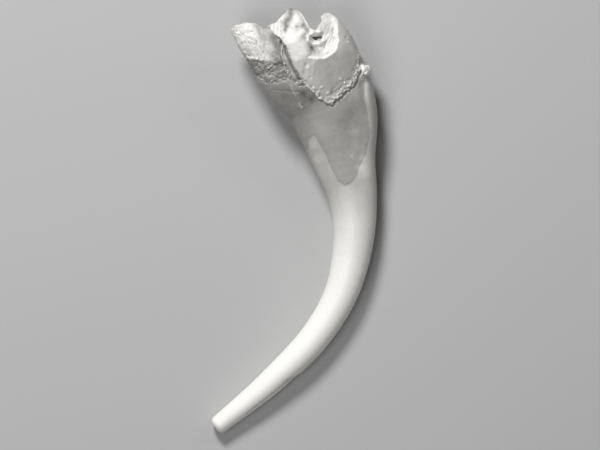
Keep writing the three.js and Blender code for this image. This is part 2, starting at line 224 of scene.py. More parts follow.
root = {
    # how white the tooth is along its length, darker towards the root: partly the tooth's own tone and partly
    # painted shade for the root, which turns away from the light: (distance from the tip, whiteness)
    "whiteness": [(0, 1), (17, 1), (20, 0.98), (24, 0.8), (27.5, 0.52), (31, 0.46), (36, 0.4)],
    # the dried film on the root, down to its tongue-shaped end
    "film": pathOf([(-6, 4), (6, 4), (4.7, 0.4), (4.04, -0.61), (3.49, -1.69), (3.27, -2.77), (2.71, -4.08),
                    (2.24, -5.1), (1.33, -6.25), (0.18, -7.09), (-0.62, -7.88), (-1.19, -8.07),
                    (-1.72, -8.02), (-2.08, -7.3), (-2.13, -6.31), (-2.02, -4.6), (-2.12, -2.53),
                    (-2.83, -2.69), (-3.19, -3.47), (-6, -3.6)]),
    "filmHeight": 0.04,
    "filmDarkening": 0.3,
    "filmEdge": 0.025,
    # painted light: a bare strip along the film's right edge and a paler band below it, lighter to stand in
    # for light on the root's right side: line, half width, whiteness added at its lower and at its upper end,
    # and between which heights that changes
    "paintedLightBands": [(pathOf([(4.5, 0.1), (4.36, -0.34), (4.1, -0.9), (3.85, -1.44), (3.6, -2.3), (3.4, -2.9),
                           (2.9, -4.1)]), 0.25, (0.14, 0.48), (-2.8, -0.9)),
                  (pathOf([(2.9, -3.3), (2.56, -4.4), (1.93, -5.6), (1.21, -6.8), (0.54, -7.8)]),
                   0.6, (0.24, 0.1), (-6, -3.5))],
    # lighter and darker spots on the root: (place, radius, change of whiteness); the darker ones just under
    # the bone's lower edge are painted shade
    "patchesAndPaintedShade": [((-2.5, 1.9), 1.0, -0.12), ((-1.1, 0.75), 0.7, -0.09), ((-1.9, 0.4), 0.8, -0.06),
                ((-1.51, -2.15), 0.9, 0.06), ((0.81, -2.7), 0.7, -0.07), ((1.81, -2.17), 0.6, -0.07),
                ((1.5, -4.1), 0.5, 0.11), ((0.85, -5.2), 0.5, 0.13), ((0.16, -5.81), 0.4, 0.08),
                ((2.98, -0.89), 0.5, 0.1), ((0.28, -7.22), 0.36, 0.22), ((0.86, -6.48), 0.32, 0.18),
                ((-2.64, -3.34), 0.4, 0.12), ((-2.9, -4.71), 0.5, 0.12), ((-3.2, -6.12), 0.5, 0.08),
                ((-1.9, -7.6), 0.6, -0.05), ((0.3, -9.2), 0.7, 0.06),
                ((-1.28, 1.38), 0.45, -0.18), ((-0.78, 0.5), 0.4, -0.14), ((0.07, -5.92), 0.1, 0.2),
                ((1.68, -5.55), 0.09, -0.2)],
    # a low ridge, lighter with painted light along it
    "ridge": pathOf([(-2.01, 2.48), (-2.1, 2.01), (-2.08, 1.53), (-2.01, 0.87)]),
    "ridgeWidth": 0.11,
    "ridgeHeight": 0.06,
    "ridgePaintedLight": 0.14,
    "scratches": [pathOf([(-3.73, 2.91), (-3.03, 2.43), (-2.26, 2.11)]),
                  pathOf([(-2.6, 2.1), (-1.6, 1.6)])],
    "scratchWidth": 0.06,
    "scratchDepth": 0.05,
    # small bumps and pits: (place, radius, height); the bumps get painted light and the pits painted shade
    "specks": [((-2.1, 0.42), 0.1, 0.07), ((-2.04, 0.2), 0.09, 0.05), ((-1.9, 0.4), 0.07, -0.05),
               ((-1.84, -0.02), 0.07, -0.05), ((-2.05, 0.65), 0.07, 0.04)],
    "bumpPaintedLight": 0.3,
    "pitPaintedShade": 0.1,
}


def nearLine(path, spot, width):
    # 1 on a line of points, fading to 0 on both sides of it
    return bump(distanceTo(path, spot, 3 * width), width)


def nearPlace(place, spot, radius):
    # 1 at a place, fading to 0 around it
    return bump((spot - Vector((*place, 0))).length, radius)


def solidRough(point, size, finer):
    # uneven ground all round the piece, in lumps of two sizes, from about -1 to 1
    return 0.65 * noise.noise(point / size) + 0.35 * noise.noise(point / finer)


def pores(across, up, size, seed):
    # 1 in the middle of a round pore and 0 on the walls between the pores
    near = noise.voronoi(Vector((across / size, up / size, seed)))[0]
    return 1 - smooth(near[0], 0.12, 0.42)


def grains(across, up, size, seed):
    # rounded grains: how high a place is on its grain, and how light that grain is, from about -0.5 to 0.5
    near, points = noise.voronoi(Vector((across / size, up / size, seed)))
    return 1 - smooth(near[0], 0.05, 0.6), noise.noise(points[0] * 5.3)


def webbed(across, up, size, seed):
    # thin walls of spongy bone: 1 on the walls, 0 in the hollows between them
    return 1 - min(1, 2.4 * abs(rough(across, up, size, seed)))


def warped(across, up):
    # breaks up every straight line on the bone
    amount = smooth(up, -1.6, -0.9)
    shiftAcross = 0.09 * rough(across, up, 0.5, 60) + 0.045 * rough(across, up, 0.17, 61)
    shiftUp = 0.09 * rough(across, up, 0.5, 62) + 0.045 * rough(across, up, 0.17, 63)
    return across + amount * shiftAcross, up + amount * shiftUp


def rootSkin(across, up, along):
    # height and whiteness of the tooth itself on its near side, with painted light and painted shade in the
    # whiteness
    spot = Vector((across, up, 0))
    wander = 0.05 * rough(across, up, 0.6, 31)
    film = smooth(depthInside(root["film"], spot, 0.5) + wander, -root["filmEdge"], root["filmEdge"])
    height = root["filmHeight"] * film
    # darker towards the root, partly painted shade
    white = between(root["whiteness"], along) * (1 - root["filmDarkening"] * film)
    # painted light on the root's right side
    for path, width, tones, stretch in root["paintedLightBands"]:
        white += mix(*tones, smooth(up, *stretch)) * nearLine(path, spot, width)
    # spots of tone, with painted shade under the bone's lower edge
    for place, radius, change in root["patchesAndPaintedShade"]:
        white += change * nearPlace(place, spot, radius)
    white += 0.02 * rough(across, up, 1.1, 33) + 0.015 * rough(across * 2, up, 0.5, 34)
    onRidge = nearLine(root["ridge"], spot, root["ridgeWidth"]) * smooth(up, 0.8, 2)
    height += root["ridgeHeight"] * onRidge
    white += root["ridgePaintedLight"] * onRidge
    for path in root["scratches"]:
        height -= root["scratchDepth"] * nearLine(path, spot, root["scratchWidth"])
    for place, radius, rise in root["specks"]:
        shape = nearPlace(place, spot, radius)
        height += rise * shape
        # painted light on the bumps, painted shade in the pits
        white += (root["bumpPaintedLight"] if rise > 0 else -root["pitPaintedShade"]) * shape
    return height, white


lump = {
    # the spongy lump left of the plate: its lower edge and its ledge as (across, up)
    "foot": [(-4.9, 5.0), (-4.63, 4.69), (-4.13, 3.8), (-3.32, 3.29), (-2.53, 3.21), (-1.8, 2.94),
             (-1.38, 2.09), (-0.6, 1.6)],
    "top": [(-4.9, 6.9), (-4.24, 6.35), (-3.22, 5.6), (-2.51, 4.95), (-1.93, 4.8), (-0.6, 4.6)],
    "footHeight": 0.1,
    "height": 0.55,
    "sideways": 0.12,
    "lean": 0.34,
    # where the smooth channel beside the plate starts, from the plate's side and going up
    "channelSide": (-0.72, -0.5),
    "channelFoot": (2.3, 3),
    "webSize": 0.34,
    "webDepth": 0.17,
    "grainSize": 0.19,
    "grainDepth": 0.1,
    "unevenness": 0.12,
    "webPaintedShade": 0.14,
    "grainPaintedLight": 0.1,
    "whiteGrains": 0.5,
    "smoothWhiteness": 0.42,
    "spongyWhiteness": 0.24,
    # the rubble above the ledge, lighter towards its outer top corner with painted light, as its top faces
    # the light; its dents get painted shade
    "rubbleRight": (-2.9, -2.3),
    "rubbleWhiteness": 0.59,
    "cornerPaintedLight": 0.28,
    "rubblePoreDepth": 0.1,
    "dentSize": 0.22,
    "dentDepth": 0.08,
    "dentPaintedShade": 0.4,
    # a raised lip, lighter with painted light
    "ledge": pathOf([(-4.6, 6.75), (-4.08, 6.42), (-3.83, 6.18), (-3.4, 5.8)]),
    "ledgeWidth": 0.12,
    "ledgeHeight": 0.14,
    "ledgePaintedLight": 0.3,
    # a dish, painted darker than the rubble round it and darker still in its middle and along its shade line:
    # painted shade in the hollow
    "dish": pathOf([(-1.9, 8.3), (-2.37, 7.46), (-2.73, 6.7), (-2.9, 6.0), (-1.5, 5.7), (-0.8, 6.3),
                    (-0.4, 6.95), (-0.7, 7.2), (-1.2, 8.3)]),
    "dishMiddle": (-1.15, 6.75),
    "dishRadius": 0.75,
    "dishEdgeDepth": 0.1,
    "dishDepth": 0.5,
    "dishWhiteness": 0.46,
    "dishShade": pathOf([(-1.2, 6.85), (-1.55, 6.0), (-1.8, 5.1)]),
    "dishShadeWidth": 0.72,
    "dishDarkening": 0.26,
}


def lumpSurface(across, up, wander, fromSide):
    # height, whiteness and porosity of the lump
    spot = Vector((across, up, 0))
    foot = between(lump["foot"], across) + wander
    ledge = between(lump["top"], across) + 0.6 * wander
    climb = min(1, max(0, (up - foot) / (ledge - foot)))
    inChannel = smooth(fromSide, *lump["channelSide"]) * smooth(up, *lump["channelFoot"])
    spongy = (1 - smooth(up - ledge, -0.1, 0.3)) * (1 - 0.85 * inChannel)
    height = mix(lump["footHeight"], lump["height"], climb) - lump["lean"] * max(0, up - ledge)
    web = 0.6 * webbed(across * 0.75, up * 1.5, lump["webSize"], 1)
    web += 0.4 * webbed(across, up * 1.3, lump["webSize"] / 2, 2)
    grain, light = grains(across * 0.6 + 0.3 * up, up, lump["grainSize"], 29)
    height -= spongy * (lump["webDepth"] * (1 - web) ** 1.3 + lump["grainDepth"] * (1 - grain))
    height += spongy * lump["unevenness"] * rough(across, up, 0.7, 5)
    white = mix(lump["smoothWhiteness"], lump["spongyWhiteness"], spongy) + 0.08 * rough(across, up, 0.5, 12)
    # painted shade in the hollows between the walls and painted light on the grain tops
    white += spongy * (lump["webPaintedShade"] * web - 0.05 + lump["grainPaintedLight"] * grain)
    white += spongy * lump["whiteGrains"] * grain * smooth(light, 0.08, 0.26)

    rubble = (1 - spongy) * (1 - smooth(across, *lump["rubbleRight"]))
    height += rubble * (0.09 * rough(across, up, 0.4, 4) + 0.05 * rough(across, up, 0.16, 6))
    height -= rubble * lump["rubblePoreDepth"] * pores(across, up, 0.5, 14)
    grain, light = grains(across, up, lump["dentSize"], 74)
    inDent = rubble * grain * smooth(-light, 0.12, 0.3)
    height -= lump["dentDepth"] * inDent
    lit = lump["rubbleWhiteness"] + lump["cornerPaintedLight"] * smooth(up - 0.3 * across, 7.6, 10)
    lit -= lump["dentPaintedShade"] * inDent
    lit += 0.16 * rough(across, up, 0.35, 28) + 0.08 * rough(across, up, 0.14, 30)
    white = mix(white, lit, rubble)

    inDish = smooth(depthInside(lump["dish"], spot, 1.2), -0.2, 0.3)
    deeper = nearPlace(lump["dishMiddle"], spot, lump["dishRadius"])
    dishDepth = lump["dishEdgeDepth"] + lump["dishDepth"] * deeper
    height -= inDish * (dishDepth - 0.015 * rough(across, up, 0.4, 26))
    # painted shade, darker towards the dish's middle
    white = mix(white, lump["dishWhiteness"] - 0.08 * deeper, inDish)
    white -= lump["dishDarkening"] * nearLine(lump["dishShade"], spot, lump["dishShadeWidth"])
    onLedge = nearLine(lump["ledge"], spot, lump["ledgeWidth"])
    height += lump["ledgeHeight"] * onLedge
    white += lump["ledgePaintedLight"] * onLedge
    return height, white, spongy * 0.9 + rubble * 0.5


peak = {
    # where it ends on the right, and where it starts, going up
    "right": (1.9, 2.5),
    "foot": (3.9, 4.3),
    # flat broken faces that cut it back: (place, height there, slope across, slope up), and how white each
    # is, set partly as painted light for how each face meets the light
    "faces": [((0, 4.3), 0.37, 0.03, -0.24), ((0.3, 5.9), 0.0, -0.06, -0.7),
              ((0.68, 4.8), 0.27, -0.42, -0.3), ((1.2, 7.6), -1.1, -0.5, -0.7)],
    "faceWhiteness": [0.5, 0.66, 0.6, 0.6],
    # the smoothest face, below the peak
    "smoothFace": pathOf([(-0.47, 5.86), (0.36, 5.93), (0.59, 5.54), (0.71, 4.74), (0.61, 4.17), (0.23, 4.1),
                          (-0.47, 4.25), (-0.72, 4.62)]),
    "smoothWhiteness": 0.56,
    # lighter and darker spots, partly painted light and painted shade on the broken faces: (place, radius,
    # change of whiteness)
    "tones": [((0.01, 6.35), 0.45, 0.3), ((0.4, 8.5), 0.28, 0.25), ((1.55, 6.85), 0.3, -0.3),
              ((1.72, 6.3), 0.22, -0.4), ((1.13, 6.51), 0.2, 0.3), ((1.42, 6.22), 0.18, 0.3),
              ((0.85, 6.05), 0.18, -0.16), ((1.2, 5.4), 0.3, 0.2),
              ((1.03, 7.1), 0.16, -0.4), ((2.74, 5.79), 0.4, 0.25), ((1.3, 7.9), 0.4, 0.2),
              ((0.75, 7.4), 0.3, 0.15)],
    # the ribbed part at its top left, with painted light on the rib crests and painted shade between them
    "ribbed": pathOf([(-1.5, 8.6), (-1.39, 7.9), (-1.2, 7.5), (-1.12, 7.21), (-0.78, 6.96), (-0.5, 6.88),
                      (-0.32, 7.14), (0.3, 7.5), (1.1, 9.2)]),
    "ribSpacing": 0.34,
    "ribHeight": 0.06,
    "ribWhiteness": 0.74,
    "ribPaintedLightAndShade": 0.14,
    # a shallow groove that widens towards the top, darkened with painted shade
    "wedge": pathOf([(1.36, 8.9), (0.86, 8.35), (0.53, 8.09), (0.24, 7.8), (0.04, 7.5), (-0.1, 7.25)]),
    "wedgeDepth": 0.14,
    "wedgeWidth": 0.43,
    "wedgePaintedShade": 0.5,
}


def peakSurface(across, up, height, white):
    # the middle peak at the plate's left
    spot = Vector((across, up, 0))
    onPeak = (1 - smooth(across, *peak["right"])) * smooth(up, *peak["foot"])
    faces = [rise + slopeAcross * (across - place[0]) + slopeUp * (up - place[1])
             for place, rise, slopeAcross, slopeUp in peak["faces"]]
    lowest = min(faces)
    if lowest < height and onPeak > 0:
        height = mix(height, lowest, onPeak)
        white = mix(white, peak["faceWhiteness"][faces.index(lowest)], onPeak)
    onSmooth = onPeak * smooth(depthInside(peak["smoothFace"], spot, 0.4), -0.04, 0.04)
    onRough = onPeak * (1 - onSmooth)
    height += onRough * (0.05 * rough(across, up, 0.4, 18) + 0.025 * rough(across, up, 0.15, 45))
    white = mix(white + onPeak * 0.14 * rough(across, up, 0.3, 46), peak["smoothWhiteness"], onSmooth)
    for place, radius, change in peak["tones"]:
        white += onRough * change * nearPlace(place, spot, radius)

    ribs = smooth(depthInside(peak["ribbed"], spot, 0.8), -0.03, 0.05)
    ribs *= (1 - smooth(across, -0.5, 0.1)) * smooth(up, 6.7, 7.1)
    lean = plan["rootLean"]
    ribPlace = across * math.cos(lean) - up * math.sin(lean) + 0.1 * rough(across, up, 0.6, 47)
    wave = math.sin(ribPlace / peak["ribSpacing"] * 2 * math.pi)
    height += ribs * peak["ribHeight"] * wave
    white = mix(white, peak["ribWhiteness"] + peak["ribPaintedLightAndShade"] * wave, ribs)

    taper = smooth(up, 7.2, 8.6)
    away = distanceTo(peak["wedge"], spot, 1) + 0.06 * rough(across, up, 0.2, 76)
    inWedge = bump(away, peak["wedgeWidth"] * (0.6 + 0.4 * taper))
    height -= peak["wedgeDepth"] * inWedge * (0.4 + 0.6 * taper)
    white -= peak["wedgePaintedShade"] * inWedge
    return height, white


flake = {
    # where a flake came off the plate
    "outline": pathOf([(4.6, 7.6), (4.76, 6.2), (4.48, 5.55), (4.2, 5.02), (3.82, 4.22), (3.32, 3.55),
                       (2.6, 3.25), (1.72, 3.34), (1.14, 3.68), (0.57, 4.05), (0.9, 4.8), (1.2, 5.5),
                       (1.45, 6.1), (1.75, 6.5), (1.9, 7.6)]),
    "wall": 0.38,                            # how deep it drops
    "wallWidth": 0.28,
    "extraWallWidth": 0.5,                   # at the upper right, where it slopes gently
    "wallWhitenessWithPaintedLight": 0.88,
    "hollow": ((1.85, 4.8), 1.25, 0.8),      # place, radius and depth
    "whiteness": 0.76,
    "lineSpacing": 0.15,
    "lineLean": math.radians(43),            # of the lines in its bed, from straight up
    "linePaintedShade": 0.3,
    "mottled": ((1.48, 4.4), 0.62),          # place and radius
    "mottledGrain": 0.2,
    "mottledDepth": 0.09,
}


def flakeBed(across, up, height, white, unwarped):
    # the bed that the flake left, with a steep wall round it made lighter with painted light, and fine lines
    # in it darkened with painted shade
    spot = Vector((across, up, 0))
    inside = depthInside(flake["outline"], spot, 1.4) + 0.05 * rough(across, up, 0.25, 19)
    if inside < -0.05:
        return height, white
    wall = flake["wallWidth"] + flake["extraWallWidth"] * smooth(up, 4.6, 6.2) * smooth(across, 2.8, 3.8)
    place, radius, depth = flake["hollow"]
    height -= flake["wall"] * smooth(inside, -0.03, wall)
    height -= depth * nearPlace(place, spot, radius) * smooth(inside, 0.5 * wall, 1.5 * wall)
    onFloor = smooth(inside, 0.5 * wall, 1.2 * wall)
    lined = onFloor * smooth(across, 1.8, 2.3) * (1 - smooth(up, 5.9, 6.4))
    lean = flake["lineLean"]
    crossing = unwarped.x * math.cos(lean) - unwarped.y * math.sin(lean)
    lengthwise = unwarped.x * math.sin(lean) + unwarped.y * math.cos(lean)
    line = rough(crossing, lengthwise / 6, flake["lineSpacing"], 20)
    dark = smooth(line, 0.05, 0.3)
    height += lined * (0.08 * line - 0.04 * dark) + onFloor * 0.03 * rough(across, up, 0.22, 23)
    place, radius = flake["mottled"]
    mottled = nearPlace(place, spot, radius)
    grain, light = grains(across, up, flake["mottledGrain"], 24)
    height -= flake["mottledDepth"] * mottled * (1 - grain)
    bed = flake["whiteness"] - flake["linePaintedShade"] * lined * dark + 0.12 * smooth(up, 5.9, 6.4)
    bed -= mottled * (0.42 - 0.45 * grain * smooth(light, -0.1, 0.2))
    white = mix(white, mix(flake["wallWhitenessWithPaintedLight"], bed, onFloor), smooth(inside, -0.05, 0.05))
    return height, white


hole = {
    "outline": pathOf([(1.83, 5.57), (2.62, 5.21), (2.5, 5.06), (2.28, 5.22), (1.95, 5.13), (1.82, 5.38)]),
    "bottom": 3.4,
    "barLength": 6,
    # the rounded rim round it, painted near-white partly as painted light, and the crease on the rim's left,
    # darkened with painted shade
    "rimLine": pathOf([(2.6, 5.7), (2.1, 5.92), (1.68, 5.82), (1.45, 5.5), (1.47, 5.09), (1.76, 4.86),
                       (2.13, 4.8), (2.6, 4.8)]),
    "rimHeight": 0.45,
    "rimWidth": 0.21,
    "rimWhiteness": 0.98,
    "crease": pathOf([(1.75, 6.25), (1.33, 6.02), (1.1, 5.55), (1.14, 5.0), (1.4, 4.55)]),
    "creaseWidth": 0.1,
    "creaseDepth": 0.12,
    "creasePaintedShade": 0.3,
}


def holeRim(across, up, height, white):
    # the bone round the small hole
    spot = Vector((across, up, 0))
    onRim = nearLine(hole["rimLine"], spot, hole["rimWidth"])
    height += hole["rimHeight"] * onRim * (1 + 0.4 * rough(across, up, 0.3, 77))
    white = mix(white, hole["rimWhiteness"], onRim)
    inCrease = nearLine(hole["crease"], spot, hole["creaseWidth"])
    # painted shade in the crease
    return height - hole["creaseDepth"] * inCrease, white - hole["creasePaintedShade"] * inCrease


plate = {
    # its left side as (up, across), and its lower edge as (across, up)
    "sideLine": [(-1, -0.6), (0.4, -0.45), (1.79, -0.8), (3.36, -0.95), (4.07, -0.9), (5.97, -0.69),
                 (6.68, -0.8), (7.1, -1.0), (7.6, -1.25), (9, -1.45)],
    "edge": [(-1, 1.9), (-0.8, 1.79), (-0.51, 1.11), (-0.35, 0.38), (0.04, -0.12), (0.14, -0.48),
             (0.63, -0.8), (1.15, -0.64), (2.62, -0.27), (3.46, -0.07), (4.11, 0.51), (4.5, 0.95),
             (4.75, 1.6), (5.2, 2.1)],
    "height": 0.36,
    "whiteness": 0.36,
    # painted light on the plate's left, right, upper right and top
    "leftPaintedLight": 0.09,
    "rightPaintedLight": 0.11,
    "upperRightPaintedLight": 0.19,
    "topPaintedLight": 0.06,
    "border": (0.45, 1.25),    # how far up from the edge its grains and pores reach
    "borderLightening": 0.13,
    "lumpHeight": 0.1,
    "webSize": 0.26,
    "webDepth": 0.08,
    "grainSize": 0.17,
    "grainDepth": 0.1,
    "whiteGrainHeight": 0.12,
    "whiteGrains": 0.6,
    "darkGrains": 0.14,
    "streaks": [pathOf([(0.42, 3.1), (-0.05, 2.45)]), pathOf([(0.05, 3.5), (-0.4, 2.95)]),
                pathOf([(0.75, 2.75), (0.4, 2.3)])],
    "streakWidth": 0.13,
    "streakDepth": 0.03,
    "streakDarkening": 0.07,
    "paleStreak": pathOf([(0.9, 3.5), (0.1, 2.95), (-0.2, 2.4)]),
    "paleStreakWidth": 0.25,
    "paleStreakLightening": 0.1,
}


def plateSurface(across, up, aboveEdge, unwarped):
    # height, whiteness and porosity of the plate, with its peak and the flake that broke out of it
    spot = Vector((across, up, 0))
    border = 1 - smooth(aboveEdge + 0.35 * rough(across, up, 0.4, 44), *plate["border"])
    grain, light = grains(across, up, plate["grainSize"], 16)
    height = plate["height"] + 0.02 * rough(across, up, 0.6, 17)
    web = webbed(across, up, plate["webSize"], 15)
    height += border * (plate["lumpHeight"] * rough(across, up, 0.3, 11) - plate["webDepth"] * (1 - web))
    height += border * plate["whiteGrainHeight"] * grain * smooth(light, 0.1, 0.3)
    height -= border * plate["grainDepth"] * (1 - grain)
    # painted light: lighter towards the plate's left, its upper right, its right edge and its top, for how
    # the light falls on it
    white = plate["whiteness"] + plate["leftPaintedLight"] * (1 - smooth(across, -0.2, 1.5))
    white += border * (plate["borderLightening"] + plate["whiteGrains"] * grain * smooth(light, 0.02, 0.22))
    white -= border * plate["darkGrains"] * smooth(-light, 0.1, 0.3)
    upper = smooth(up, 2.5, 3.8)
    white += plate["upperRightPaintedLight"] * upper * smooth(across, 2.8, 3.4)
    white += plate["rightPaintedLight"] * (1 - upper) * smooth(across, 4, 4.6)
    white += plate["topPaintedLight"] * smooth(up, 4, 5)
    for streak in plate["streaks"]:
        inStreak = nearLine(streak, spot, plate["streakWidth"])
        height -= plate["streakDepth"] * inStreak
        white -= plate["streakDarkening"] * inStreak
    white += plate["paleStreakLightening"] * nearLine(plate["paleStreak"], spot, plate["paleStreakWidth"])
    height, white = peakSurface(across, up, height, white)
    height, white = flakeBed(across, up, height, white, unwarped)
    height, white = holeRim(across, up, height, white)
    return height, white, 0.6 * border


marks = {
    # on all of the bone: (line, height or depth, half width); the ridges get painted light and the grooves
    # painted shade
    "ridges": [(pathOf([(-0.84, 6.27), (-1.36, 5.8), (-1.53, 5.09), (-1.78, 3.87), (-1.76, 3.23)]),
                0.26, 0.085),
               (pathOf([(-4.63, 4.9), (-4.13, 4.0)]), 0.1, 0.12)],
    "ridgePaintedLight": 0.3,
    "grooves": [(pathOf([(-0.98, 6.5), (-0.88, 5.97), (-0.97, 4.97), (-1.08, 4.07), (-1.12, 3.3),
                         (-1.0, 2.6)]), 0.28, 0.12),
                (pathOf([(4.75, 1.7), (4.58, 1.4), (4.49, 0.95), (4.15, 0.6), (3.7, 0.25)]), 0.22, 0.07)],
    "groovePaintedShade": 0.28,
    # small round pits and bumps: (place, radius, height); the pits get painted shade and the bumps painted
    # light
    "pits": [((0.97, 7.01), 0.12, -0.25), ((4.53, 4.1), 0.09, -0.14), ((-3.92, 9.12), 0.09, -0.16),
             ((-2.95, 8.51), 0.12, -0.12), ((-4.39, 8.4), 0.1, -0.12), ((-4.1, 6.66), 0.1, -0.3),
             ((-3.58, 5.9), 0.11, -0.3), ((-0.12, 2.29), 0.12, -0.1), ((0.11, 3.56), 0.12, -0.1),
             ((1.62, 6.95), 0.3, -0.24), ((-3.1, 7.4), 0.1, -0.1), ((-2.2, 5.2), 0.12, -0.12),
             ((4.51, 3.64), 0.1, 0.1), ((0.15, 3.22), 0.14, 0.07), ((-0.21, 1.27), 0.1, 0.12),
             ((0.46, 1.03), 0.1, 0.12), ((0.67, 0.29), 0.12, 0.14), ((2.37, 0.92), 0.1, 0.1),
             ((2.54, 0.4), 0.1, 0.12), ((4.07, 0.91), 0.09, 0.1), ((0.1, 7.05), 0.3, 0.1)],
    "bumpPaintedLight": 0.28,
    "pitPaintedShade": 0.12,
}


def markedSurface(across, up, height, white):
    # ridges, grooves, pits and bumps on all of the bone, with painted light on the raised ones and painted
    # shade in the sunken ones
    spot = Vector((across, up, 0))
    for path, rise, width in marks["ridges"]:
        shape = nearLine(path, spot, width) * (0.5 + abs(rough(across, up, 0.35, 27)) * 1.6)
        height += rise * shape
        white += marks["ridgePaintedLight"] * shape
    for path, depth, width in marks["grooves"]:
        shape = nearLine(path, spot, width)
        height -= depth * shape
        white -= marks["groovePaintedShade"] * shape
    jagged = spot + Vector((rough(across, up, 0.13, 64), rough(across, up, 0.13, 65), 0)) * 0.09
    for place, radius, rise in marks["pits"]:
        shape = nearPlace(place, jagged, radius)
        height += rise * shape
        white += (marks["bumpPaintedLight"] if rise > 0 else -marks["pitPaintedShade"]) * shape
    return height, white


knob = {
    # at the plate's corner: a block painted full white, partly as painted light for the light it catches, and
    # a lower grainy foot beside it
    "block": pathOf([(4.5, 1.16), (4.85, 1.3), (5.3, 1.05), (5.4, 0.5), (5.1, 0.05), (4.59, 0.08),
                     (4.27, 0.36), (4.33, 0.81)]),
    "height": 0.5,
    "sideways": 0.3,
    "stretch": (-0.2, 0.4, 0.85, 1.1),     # where it rises and ends on the root's side, going up
    "foot": pathOf([(4.28, 0.78), (4.32, 0.3), (4.67, -0.04), (4.8, -0.2), (4.6, -0.32), (4.21, -0.36),
                    (3.78, -0.1), (3.67, 0.26), (3.99, 0.57)]),
    "footHeight": 0.2,
    "grainSize": 0.17,
    "sideFacing": (-0.45, -0.05),          # how far round the side it reaches
}


def knobSurface(across, up, height, white):
    # the knob on the plate's corner
    spot = Vector((across, up, 0))
    grain, light = grains(across, up, knob["grainSize"], 48)
    foot = depthInside(knob["foot"], spot, 0.3) + 0.08 * rough(across, up, 0.2, 49)
    foot = smooth(foot, -0.05, 0.15)
    height += foot * (knob["footHeight"] - 0.12 * (1 - grain))
    white = mix(white, 0.4 + 0.45 * grain * smooth(light, 0, 0.2), foot)
    block = depthInside(knob["block"], spot, 0.4) + 0.08 * rough(across, up, 0.25, 25)
    block = smooth(block, -0.05, 0.12)
    height += block * (knob["height"] + 0.16 * rough(across, up, 0.3, 70) - 0.1 * (1 - grain))
    # painted full white, partly painted light
    white = mix(white, 1.0 + 0.1 * rough(across, up, 0.2, 71), block)
    return height, white


def nearSurface(across, up, along):
    # height, whiteness and porosity of the side that the photo shows
    height, white = rootSkin(across, up, along)
    unwarped = Vector((across, up, 0))
    across, up = warped(across, up)
    porous = 0
    if up < -2:
        return height, white, porous
    wander = 0.09 * rough(across, up, 0.5, 3) + 0.06 * rough(across, up, 0.17, 7)
    fromSide = across - between(plate["sideLine"], up)
    aboveEdge = up - between(plate["edge"], across) + wander
    aboveFoot = up - between(lump["foot"], across) - wander
    onRight = smooth(fromSide, -0.04, 0.04)
    if fromSide < 0.05 and aboveFoot > -0.3:
        share = (1 - onRight) * smooth(aboveFoot, -0.06, 0.06)
        lumpHeight, lumpWhite, lumpPorous = lumpSurface(across, up, wander, fromSide)
        height = mix(height, lumpHeight, share)
        white = mix(white, lumpWhite, share)
        porous = mix(porous, lumpPorous, share)
    if fromSide > -0.05 and aboveEdge > -0.6:
        share = onRight * smooth(aboveEdge, -0.05, 0.05)
        plateHeight, plateWhite, platePorous = plateSurface(across, up, aboveEdge, unwarped)
        # a narrow dent just below the edge
        height -= (1 - share) * onRight * 0.1 * bump(aboveEdge + 0.12, 0.1) * smooth(across, -0.3, 0.3)
        height = mix(height, plateHeight, share)
        white = mix(white, plateWhite, share)
        porous = mix(porous, platePorous, share)
    height, white = markedSurface(across, up, height, white)
    if across > 3.4 and -0.8 < up < 1.8:
        height, white = knobSurface(across, up, height, white)
    return height, white, porous


farPlate = {
    "edge": 0.6,               # how far up its wavy lower edge is
    "edgeWaves": (0.7, 0.2),
    "border": (0.5, 1.3),      # how far up from the edge it is rough
    "grooves": [(-2.1, 0.15, 0.3, 0.2), (1.9, -0.1, 0.25, 0.16)],      # across, lean, half width and depth
    "whiteness": 0.42,
    "grainLightening": 0.3,
    "filmEnd": -7,
}


def farSurface(across, up, along):
    # height, whiteness and porosity of the hidden side
    long, short = farPlate["edgeWaves"]
    edge = farPlate["edge"] + long * math.sin(across * 0.9 + 0.6) + short * math.sin(across * 4.1)
    onPlate = smooth(up - edge + 0.1 * rough(across, up, 0.4, 40), -0.1, 0.1)
    nearEdge = onPlate * (1 - smooth(up - edge, *farPlate["border"]))
    height = plan["rootLift"] * onPlate
    for place, lean, width, depth in farPlate["grooves"]:
        height -= onPlate * depth * bump(across - place - lean * up, width)
    height -= nearEdge * (0.08 * (1 + rough(across, up, 0.25, 9)) + 0.1 * pores(across, up, 0.4, 41))
    film = smooth(up - farPlate["filmEnd"] - 2 * math.cos(across), -0.05, 0.05) * (1 - onPlate)
    # darker towards the root, partly painted shade
    white = between(root["whiteness"], along) * (1 - root["filmDarkening"] * film)
    white = mix(white, farPlate["whiteness"] + 0.1 * rough(across, up, 0.5, 42), onPlate)
    white += farPlate["grainLightening"] * nearEdge * smooth(rough(across, up, 0.2, 43), 0.1, 0.4)
    return height, white, nearEdge


slit = {
    # the venom's way out, with its places along the fang from the tip
    "start": 2.6,
    "full": 5.1,
    "end": 9.4,            # a slanting step, which lies wider and shallower than the slit
    "stepLength": 0.14,
    "stepSlant": 1.1,
    "widenFrom": 7,
    "depth": 0.5,
    "endDepth": 0.26,
    "halfWidth": 0.24,
    "endHalfWidth": 0.6,
    "nearSide": 0.42,      # how far it is turned from the outside of the bend to the near side
    # painted shade in the slit, darker the deeper it is
    "paintedShade": 0.5,      # for each mm of depth
}

sides = {
    # the near and the far shades run into each other between these facings, where 0 is right on the side
    "facings": (-0.35, 0.25),
    "toneRoughness": 0.16,
    "lumpSize": 0.35,
    "lumpHeight": 0.07,
    "leftBone": (3.6, 4.2),    # how far up the broken bone starts on the left and on the right side
    "rightBone": (0.2, 1.2),
}


